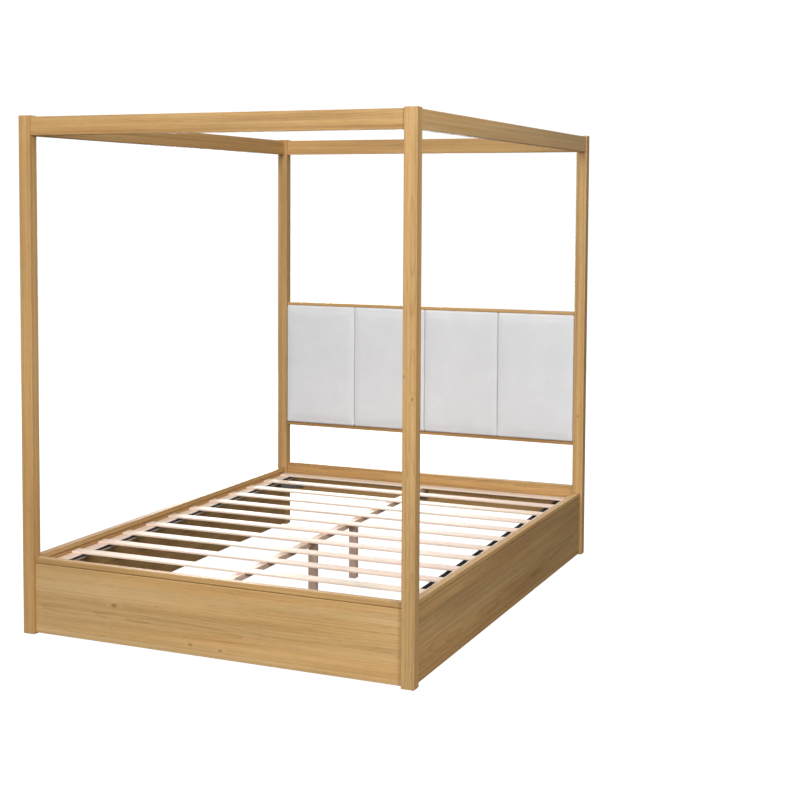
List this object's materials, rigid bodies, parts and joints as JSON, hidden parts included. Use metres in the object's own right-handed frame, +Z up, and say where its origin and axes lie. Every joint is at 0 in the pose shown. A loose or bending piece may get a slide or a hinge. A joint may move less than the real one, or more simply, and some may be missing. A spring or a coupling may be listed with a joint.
{
  "type": "four poster canopy bed",
  "caption": "Queen size four poster canopy bed: square oak posts joined by a top frame of rails, capped bed rails, open slatted base, and a padded light grey headboard.",
  "frame": {"origin": "centre of the bed's footprint, on the floor", "axes": "+X to the right seen from the foot, +Y from the foot end to the headboard, +Z up"},
  "size_m": [1.62, 2.124, 1.975],
  "materials": {
    "oak_post": "satin lacquered oak, grain upright",
    "oak_long": "satin lacquered oak, grain along the bed",
    "oak_cross": "satin lacquered oak, grain across the bed",
    "oak_panel_long": "satin lacquered oak veneer, grain along the bed",
    "oak_panel_cross": "satin lacquered oak veneer, grain across the bed",
    "pad_fabric": "matt light grey woven upholstery",
    "pine_long": "bare planed softwood, grain along the bed",
    "pine_slat": "bare planed softwood, grain across the bed",
    "pine_leg": "bare planed softwood, grain upright",
    "webbing": "black woven tape",
    "zinc_steel": "zinc plated"
  },
  "bodies": {
    "root": {"post_foot_left": "oak_post", "post_foot_right": "oak_post", "post_head_left": "oak_post", "post_head_right": "oak_post", "canopy_rail_left": "oak_long", "canopy_rail_right": "oak_long", "canopy_rail_foot": "oak_cross", "canopy_rail_head": "oak_cross", "foot_rail": "oak_panel_cross", "foot_rail_cap": "oak_cross", "side_rail_left": "oak_panel_long", "side_rail_left_cap": "oak_long", "side_rail_right": "oak_panel_long", "side_rail_right_cap": "oak_long", "head_rail": "oak_cross", "headboard_panel": "oak_panel_cross", "headboard_trim_bottom": "oak_cross", "headboard_trim_top": "oak_cross", "headboard_pad_1": "pad_fabric", "headboard_pad_2": "pad_fabric", "headboard_pad_3": "pad_fabric", "headboard_pad_4": "pad_fabric", "ledger_left": "pine_long", "ledger_right": "pine_long", "slat_01": "pine_slat", "slat_02": "pine_slat", "slat_03": "pine_slat", "slat_04": "pine_slat", "slat_05": "pine_slat", "slat_06": "pine_slat", "slat_07": "pine_slat", "slat_08": "pine_slat", "slat_09": "pine_slat", "slat_10": "pine_slat", "slat_11": "pine_slat", "slat_12": "pine_slat", "slat_strap_left": "webbing", "slat_strap_right": "webbing", "centre_beam": "pine_long", "centre_leg_foot": "pine_leg", "centre_leg_head": "pine_leg", "corner_brace_foot_left": "zinc_steel", "brace_bolt_side_foot_left": "zinc_steel", "brace_bolt_end_foot_left": "zinc_steel", "corner_brace_foot_right": "zinc_steel", "brace_bolt_side_foot_right": "zinc_steel", "brace_bolt_end_foot_right": "zinc_steel", "beam_shoe_foot": "zinc_steel", "shoe_bolt_foot": "zinc_steel", "corner_brace_head_left": "zinc_steel", "brace_bolt_side_head_left": "zinc_steel", "brace_bolt_end_head_left": "zinc_steel", "corner_brace_head_right": "zinc_steel", "brace_bolt_side_head_right": "zinc_steel", "brace_bolt_end_head_right": "zinc_steel", "beam_shoe_head": "zinc_steel", "shoe_bolt_head": "zinc_steel"}
  },
  "joints": []
}
